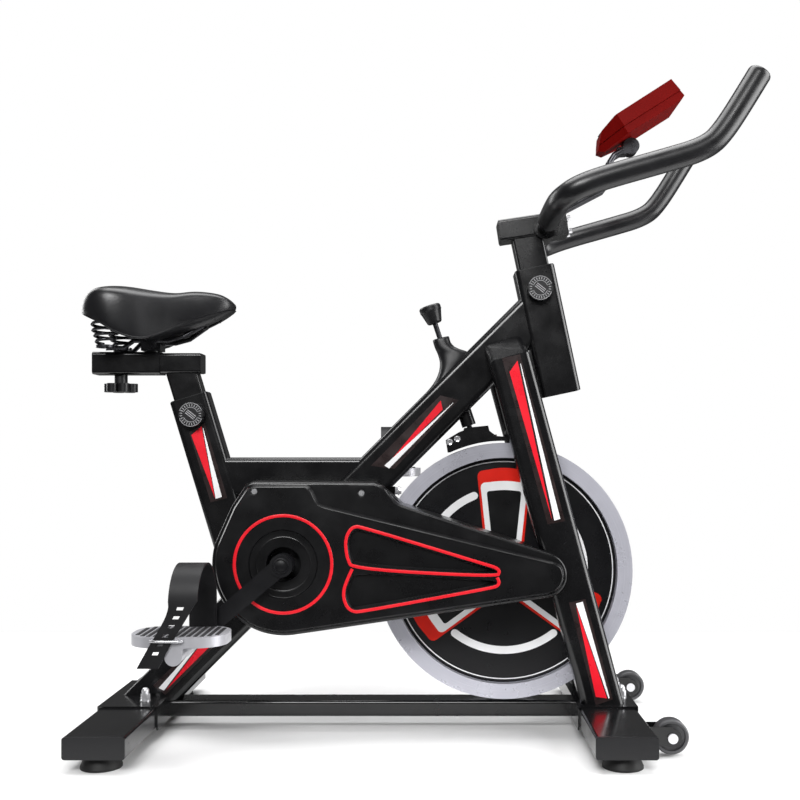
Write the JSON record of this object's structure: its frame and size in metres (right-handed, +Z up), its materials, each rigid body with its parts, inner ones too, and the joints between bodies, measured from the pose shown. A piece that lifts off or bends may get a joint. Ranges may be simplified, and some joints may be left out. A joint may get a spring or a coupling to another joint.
{
  "type": "indoor spin bike",
  "caption": "Belt-driven exercise bike with a friction-braked flywheel, sliding saddle and handlebar masts, strapped platform pedals and a tilting monitor.",
  "frame": {"origin": "on the floor, under the middle of the bike's overall box", "axes": "+X to the front (handlebar end), +Y to the rider's left, +Z up"},
  "size_m": [0.9865, 0.48, 0.9918],
  "materials": {
    "frame_paint": "gloss black powder coat",
    "base_paint": "gloss black powder coat",
    "crank_paint": "satin black paint",
    "bright_steel": "bright zinc plate",
    "dark_steel": "black oxide",
    "chrome": "polished",
    "rubber": "matte",
    "strap": "satin moulded",
    "black_plastic": "fine moulded grain",
    "guard_plastic": "glossy moulding with red lines",
    "knob_plastic": "fine moulded grain",
    "felt": "dense wool felt",
    "flywheel_steel": "turned rim, painted web",
    "pedal_silver": "silver, satin",
    "saddle_cover": "smooth black synthetic leather",
    "grip_foam": "closed-cell foam",
    "monitor_plastic": "semi-gloss deep red",
    "screen": "glossy dark window",
    "button_plastic": "smooth",
    "wheel_plastic": "moulded"
  },
  "bodies": {
    "frame": {"main_beam": "frame_paint", "seat_tube": "frame_paint", "top_tube": "frame_paint", "head_tube": "frame_paint", "bottom_tube": "frame_paint", "fork_leg_right": "frame_paint", "fork_leg_left": "frame_paint", "bottom_bracket_shell": "frame_paint", "shaft_bearings": "bright_steel", "rear_stabilizer": "base_paint", "front_stabilizer": "base_paint", "base_brackets": "base_paint", "stabilizer_end_caps": "black_plastic", "base_fasteners": "chrome", "rubber_feet": "rubber", "tube_bushings": "black_plastic", "belt_guard_outer": "guard_plastic", "belt_guard_inner": "guard_plastic", "guard_fixings": "chrome", "drive_belt": "rubber", "brake_boss": "black_plastic", "brake_pivot_pin": "bright_steel"},
    "flywheel_assembly": {"flywheel": "flywheel_steel", "flywheel_axle": "bright_steel", "flywheel_pulley": "bright_steel"},
    "crankset": {"crank_spindle": "bright_steel", "drive_pulley": "black_plastic", "crank_right": "crank_paint", "crank_left": "crank_paint", "pedal_axles": "bright_steel"},
    "right_pedal": {"pedal_right": "pedal_silver", "pedal_strap_right": "strap"},
    "left_pedal": {"pedal_left": "pedal_silver", "pedal_strap_left": "strap"},
    "seat_mast": {"seat_post": "frame_paint"},
    "seat_slide": {"seat_carriage": "frame_paint", "saddle_clamp": "dark_steel", "saddle_rails": "dark_steel", "saddle_springs": "dark_steel"},
    "saddle": {"saddle_base": "black_plastic", "saddle_cushion": "saddle_cover"},
    "seat_height_clamp": {"seat_height_knob": "knob_plastic"},
    "seat_slide_clamp": {"seat_slide_knob": "knob_plastic"},
    "handlebar_mast": {"handlebar_post": "frame_paint", "stem_clamp": "frame_paint", "clamp_bolts": "chrome", "handlebar": "frame_paint", "handlebar_grips": "grip_foam", "monitor_arm": "dark_steel"},
    "handlebar_clamp": {"handlebar_height_knob": "knob_plastic"},
    "monitor": {"monitor_rear_shell": "monitor_plastic", "monitor_front_shell": "monitor_plastic", "monitor_lens": "screen"},
    "button": {"mode_button": "button_plastic"},
    "brake_shaft": {"brake_rod": "dark_steel"},
    "brake_dial": {"brake_knob": "knob_plastic"},
    "brake_shoe": {"brake_lever": "frame_paint", "brake_pad": "felt"},
    "right_wheel": {"transport_wheel_right": "wheel_plastic"},
    "left_wheel": {"transport_wheel_left": "wheel_plastic"}
  },
  "joints": [
    {"name": "flywheel_spin", "type": "hinge", "parent": "frame", "child": "flywheel_assembly", "pos_m": [0.144, 0, 0.244], "axis": [0, 1, 0], "continuous": true},
    {"name": "crank_spin", "type": "hinge", "parent": "frame", "child": "crankset", "pos_m": [-0.1835, 0, 0.264], "axis": [0, 1, 0], "continuous": true},
    {"name": "pedal_spin_right", "type": "hinge", "parent": "crankset", "child": "right_pedal", "pos_m": [-0.31296, -0.18, 0.15382], "axis": [0, 1, 0], "continuous": true},
    {"name": "pedal_spin_left", "type": "hinge", "parent": "crankset", "child": "left_pedal", "pos_m": [-0.05404, 0.18, 0.37418], "axis": [0, 1, 0], "continuous": true},
    {"name": "seat_height", "type": "slide", "parent": "frame", "child": "seat_mast", "axis": [-0.2907, 0, 0.9568], "range_m": [-0.03, 0.15]},
    {"name": "seat_fore_aft", "type": "slide", "parent": "seat_mast", "child": "seat_slide", "axis": [1, 0, 0], "range_m": [-0.03, 0]},
    {"name": "saddle_spring_give", "type": "hinge", "parent": "seat_slide", "child": "saddle", "pos_m": [-0.322, 0, 0.623], "axis": [0, 1, 0], "range_deg": [-4, 0], "stiffness_Nm_per_rad": 400, "springref_deg": 1.15, "deforming": ["saddle_springs"]},
    {"name": "seat_height_knob_turn", "type": "hinge", "parent": "frame", "child": "seat_height_clamp", "pos_m": [-0.3353, -0.03, 0.4839], "axis": [0, 1, 0], "range_deg": [-720, 0]},
    {"name": "seat_slide_knob_turn", "type": "hinge", "parent": "seat_slide", "child": "seat_slide_clamp", "pos_m": [-0.452, 0, 0.53], "axis": [0, 0, 1], "range_deg": [-720, 0]},
    {"name": "handlebar_height", "type": "slide", "parent": "frame", "child": "handlebar_mast", "axis": [-0.2079, 0, 0.9781], "range_m": [-0.035, 0.08]},
    {"name": "handlebar_knob_turn", "type": "hinge", "parent": "frame", "child": "handlebar_clamp", "pos_m": [0.1971, -0.035, 0.6764], "axis": [0, 1, 0], "range_deg": [-720, 0]},
    {"name": "monitor_tilt", "type": "hinge", "parent": "handlebar_mast", "child": "monitor", "pos_m": [0.341, 0, 0.901], "axis": [0, 1, 0], "range_deg": [-9, 15]},
    {"name": "mode_button_press", "type": "slide", "parent": "monitor", "child": "button", "axis": [0.7705, 0, -0.6374], "range_m": [0, 0.0015], "stiffness_N_per_m": 400, "springref_m": -0.002},
    {"name": "brake_shoe_swing", "type": "hinge", "parent": "frame", "child": "brake_shoe", "pos_m": [0.155, 0, 0.456], "axis": [0, 1, 0], "range_deg": [-1.9, 0], "stiffness_Nm_per_rad": 2, "springref_deg": 28.65},
    {"name": "brake_press", "type": "slide", "parent": "frame", "child": "brake_shaft", "axis": [0.3161, 0, -0.9487], "range_m": [0, 0.0022]},
    {"name": "tension_knob_turn", "type": "hinge", "parent": "brake_shaft", "child": "brake_dial", "pos_m": [0.034, 0, 0.636], "axis": [-0.3161, 0, 0.9487], "range_deg": [-1080, 0]},
    {"name": "transport_wheel_spin_right", "type": "hinge", "parent": "frame", "child": "right_wheel", "pos_m": [0.368, -0.155, 0.0284], "axis": [0, 1, 0], "continuous": true},
    {"name": "transport_wheel_spin_left", "type": "hinge", "parent": "frame", "child": "left_wheel", "pos_m": [0.368, 0.155, 0.0284], "axis": [0, 1, 0], "continuous": true}
  ],
  "couplings": [
    {"joint": "crank_spin", "follows": "flywheel_spin", "ratio": 0.25},
    {"joint": "brake_press", "follows": "brake_shoe_swing", "m_per_rad": -0.065352}
  ]
}
